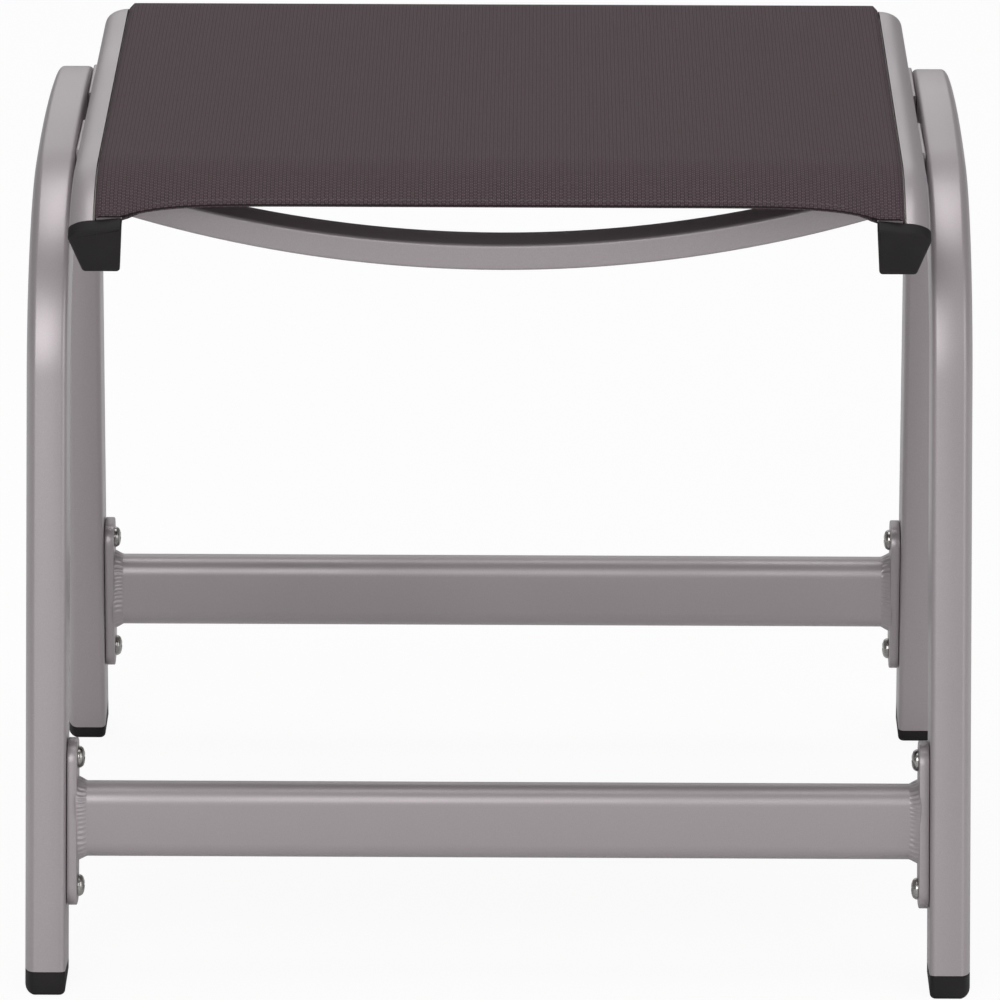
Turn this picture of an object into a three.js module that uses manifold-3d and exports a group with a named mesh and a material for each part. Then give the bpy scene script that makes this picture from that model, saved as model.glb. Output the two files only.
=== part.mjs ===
// Outdoor ottoman footstool: two side frames, two cross rails, two seat rails and a woven sling.
// Millimetres, +Z up, the front is towards -Y, the origin is on the floor in the middle of the feet.
import * as THREE from 'three';
import { mergeVertices } from 'three/addons/utils/BufferGeometryUtils.js';
import Module from 'manifold-3d';

// Shared by all pieces
const gap = 0.3; // between two pieces that touch
const overrun = 2; // how far a cut or a joined block goes past the face
const holePlay = 0.4; // between a bolt and the wall of its hole
const weldDistance = 0.001; // corners closer than this are one corner

// Side frames: one bent tube each
const feetAcross = 471; // across the outer faces of the feet
const feetDeep = 440; // front to back at the floor
const archTop = 404.5;
const legSlopeShare = 0.1434; // how far a leg leans for each unit of height
const sideLeanShare = 0.0075; // how far a side frame leans inwards for each unit of height
const crownHalfAngle = 0.1088; // radians, half of the shallow curve on top
const bendRadius = 110; // outer radius of the corner bends
const tubeDeep = 38;
const tubeAcross = 20.5;
const tubeWall = 1.8;
const outerRoundAcross = 5.3; // the outer edges have a wide, shallow round
const outerRoundDeep = 15;
const innerRound = 3;

// Foot caps
const footHeight = 9.3; // where cap and tube meet, in the middle of the leg
const footChamfer = 2;
const footPlugClear = 12; // along the leg, from its plug to the nut of the lower screw

// Cross rails and the plates that hold them
const crossHeight = 83;
const crossTall = 38.3;
const crossDeep = 20;
const crossRound = 9.4;
const crossWall = 1.6;
const plateLength = 83.5;
const plateWide = 26;
const plateThick = 5;
const plateDrop = 1.5; // the middle of a plate is this far below the middle of its rail
const plateRound = 10;
const plateScrewSpacing = 65;
const weldReach = 5; // along the cross rail
const weldSpread = 2.8; // across the plate
const weldLip = 0.6; // what is left of the weld at its thin end

// Screws and rivet nuts
const boltRadius = 3;
const headRadius = 5.5;
const headHeight = 3.2;
const headEdge = 1.1; // straight edge of the head, below its dome
const recessLong = 5.6;
const recessWide = 1.3;
const recessDeep = 1.7;
const plateScrewLength = 17;
const nutBarrel = 4.9; // radius
const nutBulge = 6.2; // radius of the part that is swollen behind the wall
const nutBulgeLong = 3;
const nutLength = 11;

// Seat rails
const railRise = 8.6; // how far its top, under the sling, stands over the arch
const railWide = 25.6; // from the top of its inner side to its outermost line
const railInnerLean = 2; // its inner side comes out this much on the way down
const railBottomWide = 19.6; // from the top of its inner side to the outer bottom edge
const railFromArch = 2.7; // between the outermost line and the arch
const railTall = 32.9;
const railShoulderDrop = 9; // from the top to the outermost line
const railLipDrop = 1.8; // the part outside the slot is this much lower
const railEdgeRound = 1.6;
const railWall = 2;
const railFlatHalf = 152; // the rail is straight up to here, each way
const railBendRadius = 90;
const railBendAngle = 0.62; // radians
const slotIn = 12.6; // from the outermost line to the slot for the edge of the sling
const slotHalfWide = 0.9;
const slotDepth = 7.3; // from the top to the middle of the round channel
const slotRadius = 4;

// End caps of the seat rails
const railCapLength = 7;
const railCapOver = 0.5; // the cap is this much larger than the rail all round
const railCapRound = 2;
const railCapPlugLength = 14;

// Spacers between arch and seat rail
const spacerLong = 59;
const spacerAway = 57.5; // Y of the middle of a spacer
const spacerTall = 16;
const spacerRise = 3.8; // from the bottom of the rail to the bottom of a spacer
const seatBoltRise = 9.3; // from the bottom of the rail to the middle of a bolt
const seatBoltReach = 11; // how far it goes into the arch

// Spreader bars
const barAway = 133.5; // Y of the middle of a bar
const barWide = 25;
const barTall = 13.3;
const barRound = 2;
const barWall = 1.5;
const barEndRise = 8.5; // from the bottom of the rail to the middle of a bar's end
const barBow = 27.6;
const pegRadius = 3;
const pegLength = 11;

// Sling and the rods in its hems
const slingThick = 1;
const slingShort = 2; // how far the sling stays back from the ends of the rails
const slingPull = 5.2; // how far its front and rear edges curve back in the middle
const slingPullPower = 4; // the higher, the straighter the middle of that edge
const hemRadius = 3.7;
const rodRadius = 2.4;

// Worked out from the sizes above
const legAngle = Math.atan(legSlopeShare);
const legDeep = tubeDeep / Math.cos(legAngle); // a leg cut level is this deep
const tubeMiddle = feetAcross / 2 - tubeAcross / 2;
const tubeInner = feetAcross / 2 - tubeAcross;
const plateFace = tubeInner - gap - plateThick;
const lowerNut = crossHeight - plateDrop - nutBulge - (plateScrewSpacing / 2) * Math.cos(legAngle);
const footPlugLength = (lowerNut - footHeight) / Math.cos(legAngle) - footPlugClear;
const railTop = archTop + railRise;
const railBottom = railTop - railTall;
const railWidest = archFaceAt(railTop - railShoulderDrop) - railFromArch;
const railInner = railWidest - railWide;
const slotAcross = railWidest - slotIn;
const spacerBottom = railBottom + spacerRise;
const spacerTop = spacerBottom + spacerTall;
const seatBoltHeight = railBottom + seatBoltRise;
const barEndHeight = railBottom + barEndRise;
const boltFace = railInsideAt(seatBoltHeight + headRadius);
const barFace = railInsideAt(barEndHeight + barTall / 2);
const railEnd = railFlatHalf + railBendRadius * railBendAngle;
const slingEnd = railEnd - slingShort;
const wholeTurn = 2 * Math.PI;

const wasm = await Module();
wasm.setup();

// Steps for the rounds
const tubeSteps = 3;
const bendSteps = 10;
const crownSteps = 6;
const railSteps = 6;
const barSteps = 14;
const shoulderSteps = 4;
const turnSteps = 12;
const rodSteps = 10;
const slingColumns = 12;

function point(x, y, z) {
  return new THREE.Vector3(x, y, z);
}

// A quarter of an ellipse as a list of points, quarter 0 starting at +x
function quarterRound(middleX, middleY, radiusX, radiusY, quarter, steps) {
  const points = [];
  for (let step = 0; step <= steps; step += 1) {
    const angle = (quarter + step / steps) * wholeTurn / 4;
    points.push(new THREE.Vector2(middleX + radiusX * Math.cos(angle), middleY + radiusY * Math.sin(angle)));
  }
  return points;
}

// Part of a circle as a list of points
function arcPoints(middleX, middleY, radius, from, to, steps) {
  const points = [];
  for (let step = 0; step <= steps; step += 1) {
    const angle = from + (to - from) * step / steps;
    points.push(new THREE.Vector2(middleX + radius * Math.cos(angle), middleY + radius * Math.sin(angle)));
  }
  return points;
}

// A full circle as a closed list of points
function circlePoints(middleX, middleY, radius, steps) {
  return arcPoints(middleX, middleY, radius, 0, wholeTurn * (steps - 1) / steps, steps - 1);
}

// A rectangle with four equal rounds, half sizes given
function roundedBox(halfX, halfY, round, steps) {
  const x = halfX - round;
  const y = halfY - round;
  return [
    ...quarterRound(x, y, round, round, 0, steps),
    ...quarterRound(-x, y, round, round, 1, steps),
    ...quarterRound(-x, -y, round, round, 2, steps),
    ...quarterRound(x, -y, round, round, 3, steps),
  ];
}

// Sweeps an outline with its holes through stations, each with a point, an across and an up direction
function sweep(outline, holes, stations) {
  const shape = new THREE.Shape(outline);
  shape.holes = holes.map((hole) => new THREE.Path(hole));
  const path = new THREE.Curve();
  path.getSpacedPoints = () => stations.map((station) => station.at);
  path.computeFrenetFrames = () => ({
    tangents: stations.map((station) => point().crossVectors(station.across, station.up)),
    normals: stations.map((station) => station.across),
    binormals: stations.map((station) => station.up),
  });
  const steps = stations.length - 1;
  return new THREE.ExtrudeGeometry(shape, { extrudePath: path, steps, bevelEnabled: false });
}

// Only the corner positions, with equal corners joined and empty triangles left out
function joined(geometry) {
  const bare = new THREE.BufferGeometry();
  bare.setAttribute('position', geometry.getAttribute('position'));
  bare.setIndex(geometry.index);
  const merged = mergeVertices(bare, weldDistance);
  const corners = merged.index.array;
  const kept = [];
  for (let first = 0; first < corners.length; first += 3) {
    const [a, b, c] = corners.slice(first, first + 3);
    if (a !== b && b !== c && c !== a) {
      kept.push(a, b, c);
    }
  }
  merged.setIndex(kept);
  return merged;
}

function solidOf(geometry) {
  const merged = joined(geometry);
  return new wasm.Manifold(new wasm.Mesh({
    numProp: 3,
    vertProperties: new Float32Array(merged.getAttribute('position').array),
    triVerts: new Uint32Array(merged.index.array),
  }));
}

function geometryOf(solid) {
  const mesh = solid.getMesh();
  const geometry = new THREE.BufferGeometry();
  geometry.setAttribute('position', new THREE.BufferAttribute(new Float32Array(mesh.vertProperties), 3));
  geometry.setIndex(Array.from(mesh.triVerts));
  return geometry;
}

// A body with blocks added first and cuts taken out afterwards
function shaped(body, blocks, cuts) {
  let solid = solidOf(body);
  for (const block of blocks) {
    solid = solid.add(solidOf(block));
  }
  for (const cut of cuts) {
    solid = solid.subtract(solidOf(cut));
  }
  return geometryOf(solid);
}

// A rod along X
function rodAcross(fromX, toX, y, z, radius, steps) {
  const across = point(0, 1, 0);
  const up = point(0, 0, 1);
  const ends = [fromX, toX].map((x) => ({ at: point(x, y, z), across, up }));
  return sweep(circlePoints(0, 0, radius, steps), [], ends);
}

// Leans a piece of a side frame inwards, floor faces stay level
function leanIn(geometry) {
  const lean = new THREE.Matrix4().makeShear(0, 0, 0, 0, 0, 0);
  lean.elements[8] = -sideLeanShare;
  return geometry.applyMatrix4(lean);
}

// The same piece on the other side of X or Y, with its faces turned outwards again
function mirrored(geometry, acrossX, acrossY) {
  const copy = joined(geometry);
  copy.scale(acrossX ? -1 : 1, acrossY ? -1 : 1, 1);
  if (acrossX !== acrossY) {
    copy.setIndex(Array.from(copy.index.array).reverse());
  }
  return copy;
}

// Outline of the bent tube, brought in by a wall; +x is its outer side
function tubeOutline(inset) {
  const halfAcross = tubeAcross / 2 - inset;
  const halfDeep = tubeDeep / 2 - inset;
  const wideX = outerRoundAcross - inset;
  const wideY = outerRoundDeep - inset;
  const small = innerRound - inset;
  return [
    ...quarterRound(halfAcross - wideX, halfDeep - wideY, wideX, wideY, 0, tubeSteps),
    ...quarterRound(small - halfAcross, halfDeep - small, small, small, 1, tubeSteps - 1),
    ...quarterRound(small - halfAcross, small - halfDeep, small, small, 2, tubeSteps - 1),
    ...quarterRound(halfAcross - wideX, wideY - halfDeep, wideX, wideY, 3, tubeSteps),
  ];
}

// Middle of a rear leg at a height
function legAway(height) {
  return feetDeep / 2 - height * legSlopeShare - legDeep / 2;
}

// A level cut through a leg, drawn in by a chamfer
function legStation(side, height, inset) {
  const narrowed = (tubeAcross - 2 * inset) / tubeAcross;
  const shallowed = (tubeDeep - 2 * inset) / tubeDeep;
  return {
    at: point(tubeMiddle, side * legAway(height), height),
    across: point(narrowed, 0, 0),
    up: point(0, side * shallowed / Math.cos(legAngle), 0),
  };
}

// A cut square to a leg
function squareStation(side, height) {
  return {
    at: point(tubeMiddle, side * legAway(height), height),
    across: point(1, 0, 0),
    up: point(0, side * Math.cos(legAngle), Math.sin(legAngle)),
  };
}

// Stations round a bend, from one direction of the outward side to another
function bendStations(middleY, middleZ, radius, from, to, steps) {
  const stations = [];
  for (let step = 0; step <= steps; step += 1) {
    const angle = from + (to - from) * step / steps;
    const outward = point(0, Math.cos(angle), Math.sin(angle));
    const at = point(tubeMiddle, middleY, middleZ).addScaledVector(outward, radius);
    stations.push({ at, across: point(1, 0, 0), up: outward });
  }
  return stations;
}

// From the rear foot over the top to the front foot; the two curves meet without a kink
function archStations() {
  const sine = Math.sin(crownHalfAngle);
  const cosine = Math.cos(crownHalfAngle);
  const reach = feetDeep / 2 - legSlopeShare * (archTop - bendRadius) - bendRadius / Math.cos(legAngle);
  const apart = reach / (sine - legSlopeShare * (1 - cosine));
  const crownRadius = bendRadius + apart;
  const crownMiddle = archTop - crownRadius;
  const bendY = apart * sine;
  const bendZ = crownMiddle + apart * cosine;
  const upright = Math.PI / 2;
  const small = bendRadius - tubeDeep / 2;
  const large = crownRadius - tubeDeep / 2;
  const before = upright - crownHalfAngle;
  const after = upright + crownHalfAngle;
  const crown = bendStations(0, crownMiddle, large, before, after, crownSteps);
  return [
    squareStation(1, footHeight),
    ...bendStations(bendY, bendZ, small, legAngle, before, bendSteps),
    ...crown.slice(1, -1),
    ...bendStations(-bendY, bendZ, small, after, Math.PI - legAngle, bendSteps),
    squareStation(-1, footHeight),
  ];
}

// Where the two screws of the rear plate sit, along the lean of the leg
function plateScrewSpots() {
  const alongY = -Math.sin(legAngle) * plateScrewSpacing / 2;
  const alongZ = Math.cos(legAngle) * plateScrewSpacing / 2;
  const z = crossHeight - plateDrop;
  const y = legAway(z);
  return [
    { name: 'upper', y: y + alongY, z: z + alongZ },
    { name: 'lower', y: y - alongY, z: z - alongZ },
  ];
}

function sideFrame() {
  const tube = sweep(tubeOutline(0), [tubeOutline(tubeWall)], archStations());
  const cuts = [];
  const from = tubeInner - overrun;
  const to = tubeInner + tubeWall + overrun;
  for (const side of [-1, 1]) {
    for (const spot of plateScrewSpots()) {
      cuts.push(rodAcross(from, to, side * spot.y, spot.z, nutBarrel + gap, turnSteps));
    }
    cuts.push(rodAcross(from, to, side * spacerAway, seatBoltHeight, nutBarrel + gap, turnSteps));
  }
  return leanIn(shaped(tube, [], cuts));
}

// Rear foot cap: level base with a chamfer, and a plug that goes up into the tube
function footCap() {
  const top = footHeight - gap;
  const cap = sweep(tubeOutline(0), [], [
    squareStation(-1, top),
    legStation(-1, footChamfer, 0),
    legStation(-1, 0, footChamfer),
  ]);
  const plug = sweep(tubeOutline(tubeWall + gap), [], [
    squareStation(-1, footHeight + footPlugLength),
    squareStation(-1, top - overrun),
  ]);
  return mirrored(leanIn(shaped(cap, [plug], [])), false, true);
}

function crossOutline(grow) {
  return roundedBox(crossDeep / 2 + grow, crossTall / 2 + grow, crossRound + grow, tubeSteps + 1);
}

// A station for something that runs along X behind the seat
function acrossStation(x, y, z, scaleY, scaleZ) {
  return { at: point(x, y, z), across: point(0, scaleY, 0), up: point(0, 0, scaleZ) };
}

function crossRail() {
  const half = plateFace - sideLeanShare * (crossHeight + crossTall / 2);
  const y = legAway(crossHeight);
  const ends = [-half, half].map((x) => acrossStation(x, y, crossHeight, 1, 1));
  return sweep(crossOutline(0), [crossOutline(-crossWall)], ends);
}

// The bead of weld on the plate, hollowed towards its thin end
function weldBead() {
  const y = legAway(crossHeight);
  const levels = [0, 1 / 4, 1 / 2, 1];
  const spread = gap + weldSpread;
  const stations = levels.map((share) => {
    const thick = gap + weldLip + (weldSpread - weldLip) * (1 - share) ** 2;
    const scaleY = (crossDeep / 2 + thick) / (crossDeep / 2 + spread);
    const scaleZ = (crossTall / 2 + thick) / (crossTall / 2 + spread);
    return acrossStation(plateFace - weldReach * share, y, crossHeight, scaleY, scaleZ);
  });
  const root = acrossStation(plateFace + overrun, y, crossHeight, 1, 1);
  return sweep(crossOutline(spread), [], [root, ...stations].reverse());
}

// Rear plate, flat on the inner face of the leg and in line with it
function mountingPlate() {
  const y = legAway(crossHeight);
  const across = point(0, Math.cos(legAngle), Math.sin(legAngle));
  const up = point(0, -Math.sin(legAngle), Math.cos(legAngle));
  const faces = [plateFace, plateFace + plateThick];
  const middle = crossHeight - plateDrop;
  const stations = faces.map((x) => ({ at: point(x, legAway(middle), middle), across, up }));
  const plate = sweep(roundedBox(plateWide / 2, plateLength / 2, plateRound, tubeSteps + 1), [], stations);
  const from = plateFace - weldReach - overrun;
  const to = plateFace + plateThick + overrun;
  const holes = plateScrewSpots().map((spot) => rodAcross(
    from, to, spot.y, spot.z, boltRadius + holePlay, turnSteps));
  const seat = sweep(crossOutline(gap), [], [
    acrossStation(from, y, crossHeight, 1, 1),
    acrossStation(plateFace + gap, y, crossHeight, 1, 1),
  ]);
  return leanIn(shaped(plate, [weldBead()], [...holes, seat]));
}

// Turns a profile of radius and distance round X; it runs from the head to the tip
function turned(profile, steps) {
  const points = profile.map(([radius, along]) => new THREE.Vector2(radius, along));
  return new THREE.LatheGeometry(points, steps).rotateZ(-wholeTurn / 4);
}

// A pan head screw along +X, the origin is under its head
function screw(length) {
  const dome = headHeight - headEdge;
  const body = turned([
    [0, -headHeight],
    [headRadius / 2, -headEdge - dome * Math.sqrt(3) / 2],
    [headRadius * Math.sqrt(3) / 2, -headEdge - dome / 2],
    [headRadius, -headEdge],
    [headRadius, 0],
    [boltRadius, 0],
    [boltRadius, length - boltRadius / 2],
    [boltRadius / 2, length],
    [0, length],
  ], turnSteps);
  const from = -headHeight - overrun;
  const to = recessDeep - headHeight;
  const cuts = [[recessLong, recessWide], [recessWide, recessLong]].map(([wide, tall]) => {
    const slot = new THREE.BoxGeometry(to - from, wide, tall);
    return slot.translate((from + to) / 2, 0, 0);
  });
  return shaped(body, [], cuts);
}

// A rivet nut along +X, the origin is on the outer face of the wall
function rivetNut() {
  const bulge = tubeWall + gap;
  const bore = boltRadius + gap;
  return turned([
    [bore, 0],
    [nutBarrel, 0],
    [nutBarrel, bulge],
    [nutBulge, bulge],
    [nutBulge, bulge + nutBulgeLong],
    [nutBarrel, bulge + nutBulgeLong],
    [nutBarrel, nutLength],
    [bore, nutLength],
    [bore, 0],
  ], turnSteps);
}

// Points of the rounded shoulder, from the outermost line to the lip of the slot
function shoulder(lip) {
  const rise = railShoulderDrop - railLipDrop;
  return quarterRound(lip, -railShoulderDrop, railWidest - lip, rise, 0, shoulderSteps);
}

// Outline of the seat rail without its slot; y is measured from its top
function railSideAndBottom() {
  const round = railEdgeRound;
  const inner = railInner + round;
  const outer = railInner + railBottomWide - round;
  const bottom = round - railTall;
  return [
    ...quarterRound(inner, -round, round, round, 1, tubeSteps - 1),
    ...quarterRound(inner + railInnerLean, bottom, round, round, 2, tubeSteps - 1),
    ...arcPoints(outer, bottom, round, -wholeTurn / 4, -railSlant(), tubeSteps - 1),
  ];
}

// How far the outer side turns away from upright
function railSlant() {
  return Math.atan((railWidest - railInner - railBottomWide) / (railTall - railShoulderDrop));
}

function railOutline() {
  const lean = Math.asin(slotHalfWide / slotRadius);
  const quarter = wholeTurn / 4;
  const channel = arcPoints(slotAcross, -slotDepth, slotRadius, quarter - lean, lean - 3 * quarter, rodSteps);
  return [
    ...shoulder(slotAcross + slotHalfWide),
    ...channel,
    new THREE.Vector2(slotAcross - slotHalfWide, 0),
    ...railSideAndBottom(),
  ];
}

// X of the outer side at a height above the floor
function railSideAt(height) {
  const share = (height - railBottom) / (railTall - railShoulderDrop);
  const bottom = railInner + railBottomWide;
  return bottom + (railWidest - bottom) * share;
}

// X of the inner side at a height above the floor
function railInsideAt(height) {
  return railInner + railInnerLean * (railTop - height) / railTall;
}

// The hollow of the rail, drawn in by a play
function hollowOutline(inset) {
  const bottom = railBottom + railWall + inset;
  const top = railTop - slotDepth - slotRadius - railWall - inset;
  const inner = railWall + inset;
  const side = (railWall + inset) / Math.cos(railSlant());
  return [
    new THREE.Vector2(railInsideAt(bottom) + inner, bottom - railTop),
    new THREE.Vector2(railSideAt(bottom) - side, bottom - railTop),
    new THREE.Vector2(railSideAt(top) - side, top - railTop),
    new THREE.Vector2(railInsideAt(top) + inner, top - railTop),
  ];
}

// The line of the seat rails: straight, then bent down, then straight on
function railLine(along) {
  const side = along < 0 ? -1 : 1;
  const past = Math.max(Math.abs(along) - railFlatHalf, 0);
  const angle = Math.min(past / railBendRadius, railBendAngle);
  const rest = past - angle * railBendRadius;
  const straight = Math.abs(along) - past;
  const y = straight + railBendRadius * Math.sin(angle) + rest * Math.cos(angle);
  const z = railTop - railBendRadius * (1 - Math.cos(angle)) - rest * Math.sin(angle);
  return { at: point(0, side * y, z), up: point(0, side * Math.sin(angle), Math.cos(angle)) };
}

function railStation(along, inset) {
  const { at, up } = railLine(along);
  const middle = (railInner + railWidest) / 2;
  const wide = (railWidest - railInner - 2 * inset) / (railWidest - railInner);
  const tall = (railTall - 2 * inset) / railTall;
  const shift = up.clone().multiplyScalar(-railTall / 2 * (1 - tall));
  const moved = at.clone().add(shift).add(point(middle * (1 - wide), 0, 0));
  return { at: moved, across: point(wide, 0, 0), up: up.multiplyScalar(tall) };
}

// Places along the rail, from the rear to the front, close together in the bends
function railPlaces(end) {
  const half = [];
  for (let step = 0; step <= railSteps; step += 1) {
    half.push(railFlatHalf + (end - railFlatHalf) * step / railSteps);
  }
  return [...half.slice().reverse(), ...half.map((place) => -place)];
}

function seatRail() {
  const stations = railPlaces(railEnd).map((place) => railStation(place, 0));
  const body = sweep(railOutline(), [hollowOutline(0)], stations);
  const cuts = [];
  const from = railInner - overrun;
  for (const side of [-1, 1]) {
    const wallEnd = barFace + railWall + overrun;
    cuts.push(rodAcross(from, railWidest + overrun, side * spacerAway, seatBoltHeight,
      boltRadius + holePlay, turnSteps));
    cuts.push(rodAcross(from, wallEnd, side * barAway, barEndHeight, pegRadius + gap, turnSteps));
  }
  return shaped(body, [], cuts);
}

// Front end cap of a seat rail, with a plug in the hollow
function railCap() {
  const outline = [...shoulder(slotAcross - slotHalfWide), ...railSideAndBottom()];
  const end = railEnd + railCapLength;
  const cap = sweep(outline, [], [
    railStation(-railEnd - gap, -railCapOver),
    railStation(railCapRound - end, -railCapOver),
    railStation(railCapRound / 3 - end, railCapRound / 3 - railCapOver),
    railStation(-end, railCapRound - railCapOver),
  ]);
  const places = [railEnd - railCapPlugLength, railEnd - railCapPlugLength / 2, railEnd, railEnd + overrun];
  const plug = sweep(hollowOutline(gap), [], places.map((place) => railStation(-place, 0)));
  return shaped(cap, [plug], []);
}

// X of the inner face of the arch at a height
function archFaceAt(height) {
  return tubeInner - sideLeanShare * height;
}

// Rear spacer: a wedge between the upright arch and the slanted rail
function spacer() {
  const corners = [
    new THREE.Vector2(railSideAt(spacerBottom) + gap, spacerBottom),
    new THREE.Vector2(archFaceAt(spacerBottom) - gap, spacerBottom),
    new THREE.Vector2(archFaceAt(spacerTop) - gap, spacerTop),
    new THREE.Vector2(railSideAt(spacerTop) + gap, spacerTop),
  ];
  const ends = [spacerAway + spacerLong / 2, spacerAway - spacerLong / 2];
  const stations = ends.map((y) => ({ at: point(0, y, 0), across: point(1, 0, 0), up: point(0, 0, 1) }));
  const radius = boltRadius + holePlay;
  const hole = rodAcross(railInner, feetAcross / 2, spacerAway, seatBoltHeight, radius, turnSteps);
  return shaped(sweep(corners, [], stations), [], [hole]);
}

// The line of a spreader bar, an arc that hangs down; its ends are cut upright
function barStations(from, to, steps) {
  const half = barFace - gap;
  const radius = (half ** 2 + barBow ** 2) / (2 * barBow);
  const last = Math.asin(half / radius);
  const stations = [];
  for (let step = 0; step <= steps; step += 1) {
    const share = from + (to - from) * step / steps;
    const angle = last * share;
    const z = barEndHeight - barBow + radius * (1 - Math.cos(angle));
    const atEnd = Math.abs(share) === 1;
    const up = atEnd ? point(0, 0, 1 / Math.cos(angle)) : point(-Math.sin(angle), 0, Math.cos(angle));
    stations.push({ at: point(radius * Math.sin(angle), barAway, z), across: point(0, 1, 0), up });
  }
  return stations;
}

function barOutline(inset) {
  return roundedBox(barWide / 2 - inset, barTall / 2 - inset, barRound - inset, tubeSteps - 1);
}

function spreaderBar() {
  return sweep(barOutline(0), [barOutline(barWall)], barStations(-1, 1, barSteps));
}

// End plug of the rear bar on the right, as long as the bar's last step, with a peg for the seat rail
function barPlug() {
  const inside = 1 - 2 / barSteps;
  const plug = sweep(barOutline(barWall + gap), [], barStations(inside, 1, 1));
  const from = barFace - 2 * gap;
  const peg = rodAcross(from, barFace + pegLength, barAway, barEndHeight, pegRadius, turnSteps);
  return shaped(plug, [peg], []);
}

// Section of a hem: it comes down into the slot of the right rail and goes round the rod
function hemOutline() {
  const neck = slingThick / 2;
  const lean = Math.asin(neck / hemRadius);
  const quarter = wholeTurn / 4;
  const ring = arcPoints(slotAcross, -slotDepth, hemRadius, quarter - lean, lean - 3 * quarter, rodSteps);
  return [
    ...quarterRound(slotAcross - neck, gap, slingThick, slingThick, 0, 2).reverse(),
    ...ring,
  ];
}

function rodChannel(side, radius) {
  return circlePoints(side * slotAcross, -slotDepth, radius, rodSteps);
}

// A closed sheet between two grids of points, each a list of rows
function sheetBetween(upper, lower) {
  const rows = upper.length;
  const columns = upper[0].length;
  const faces = [];
  function quad(a, b, c, d) {
    faces.push(a, b, c, a, c, d);
  }
  function corner(layer, row, column) {
    return (layer * rows + row) * columns + column;
  }
  for (let row = 1; row < rows; row += 1) {
    for (let column = 1; column < columns; column += 1) {
      const [upperFace, lowerFace] = [0, 1].map((layer) => [
        corner(layer, row - 1, column - 1),
        corner(layer, row - 1, column),
        corner(layer, row, column),
        corner(layer, row, column - 1),
      ]);
      quad(...upperFace);
      quad(...lowerFace.reverse());
    }
    const [first, last] = [0, columns - 1];
    quad(corner(0, row - 1, first), corner(0, row, first), corner(1, row, first), corner(1, row - 1, first));
    quad(corner(0, row, last), corner(0, row - 1, last), corner(1, row - 1, last), corner(1, row, last));
  }
  for (let column = 1; column < columns; column += 1) {
    const [first, last] = [0, rows - 1];
    const back = column - 1;
    quad(corner(0, first, column), corner(0, first, back), corner(1, first, back), corner(1, first, column));
    quad(corner(0, last, back), corner(0, last, column), corner(1, last, column), corner(1, last, back));
  }
  const geometry = new THREE.BufferGeometry();
  geometry.setFromPoints([...upper.flat(), ...lower.flat()]);
  geometry.setIndex(faces);
  return geometry;
}

// A point of the sling; towards the middle its front and rear edges are drawn back
function slingPoint(x, place, height) {
  const across = Math.min(Math.abs(x) / (slotAcross - slingThick / 2), 1);
  const pull = 1 - slingPull / slingEnd * (1 - across ** slingPullPower);
  const { at, up } = railLine(place * pull);
  return at.addScaledVector(up, height).setX(x);
}

function sling() {
  const inner = slotAcross - slingThick / 2;
  const columns = [slotAcross];
  for (let column = 0; column <= slingColumns; column += 1) {
    columns.push(inner * (1 - 2 * column / slingColumns));
  }
  columns.push(-slotAcross);
  const [upper, lower] = [gap + slingThick, gap].map((height) => railPlaces(slingEnd).map(
    (place) => columns.map((x) => slingPoint(x, place, height))));
  const stations = railPlaces(slingEnd).map((place) => railStation(place, 0));
  const hem = sweep(hemOutline(), [rodChannel(1, rodRadius + gap)], stations);
  return shaped(sheetBetween(upper, lower), [hem, mirrored(hem, true, false)], []);
}

function hemRod() {
  return sweep(rodChannel(1, rodRadius), [], railPlaces(slingEnd).map((place) => railStation(place, 0)));
}

// Colours and finishes
function silver() {
  return new THREE.MeshStandardMaterial({ color: 0xa9a4a5, roughness: 0.42, metalness: 0.85 });
}

function blackPlastic() {
  return new THREE.MeshStandardMaterial({ color: 0x232022, roughness: 0.6, metalness: 0 });
}

function steel() {
  return new THREE.MeshStandardMaterial({ color: 0xc4c2c0, roughness: 0.25, metalness: 1 });
}

function weave() {
  return new THREE.MeshStandardMaterial({ color: 0x574d50, roughness: 0.85, metalness: 0 });
}

function rodPlastic() {
  return new THREE.MeshStandardMaterial({ color: 0xd8d6d0, roughness: 0.5, metalness: 0 });
}

const group = new THREE.Group();
group.name = 'ottoman_footstool';

function add(name, geometry, material) {
  const flat = geometry.index ? geometry.toNonIndexed() : geometry;
  flat.computeVertexNormals();
  const mesh = new THREE.Mesh(flat, material);
  mesh.name = name;
  group.add(mesh);
  return mesh;
}

const sides = [['left', -1], ['right', 1]];
const ends = [['front', -1], ['rear', 1]];

for (const [side, x] of sides) {
  add(`side_frame_${side}`, mirrored(sideFrame(), x < 0, false), silver());
  add(`seat_rail_${side}`, mirrored(seatRail(), x < 0, false), silver());
  add(`hem_rod_${side}`, mirrored(hemRod(), x < 0, false), rodPlastic());
}

for (const [end, y] of ends) {
  add(`cross_rail_${end}`, mirrored(crossRail(), false, y < 0), silver());
  add(`spreader_bar_${end}`, mirrored(spreaderBar(), false, y < 0), silver());
}

for (const [side, x] of sides) {
  for (const [end, y] of ends) {
    const corner = `${end}_${side}`;
    add(`foot_cap_${corner}`, mirrored(footCap(), x < 0, y < 0), blackPlastic());
    add(`mounting_plate_${corner}`, mirrored(mountingPlate(), x < 0, y < 0), silver());
    add(`rail_end_cap_${corner}`, mirrored(railCap(), x < 0, y > 0), blackPlastic());
    add(`spacer_${corner}`, mirrored(spacer(), x < 0, y < 0), silver());
    add(`spreader_plug_${corner}`, mirrored(barPlug(), x < 0, y < 0), blackPlastic());
  }
}

// Screws and nuts are drawn along +X and turned round for the left side
function addAcross(name, geometry, x, y, z, material) {
  const mesh = add(name, geometry, material);
  mesh.position.set(x, y, z);
  mesh.rotation.z = x < 0 ? Math.PI : 0;
}

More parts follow.
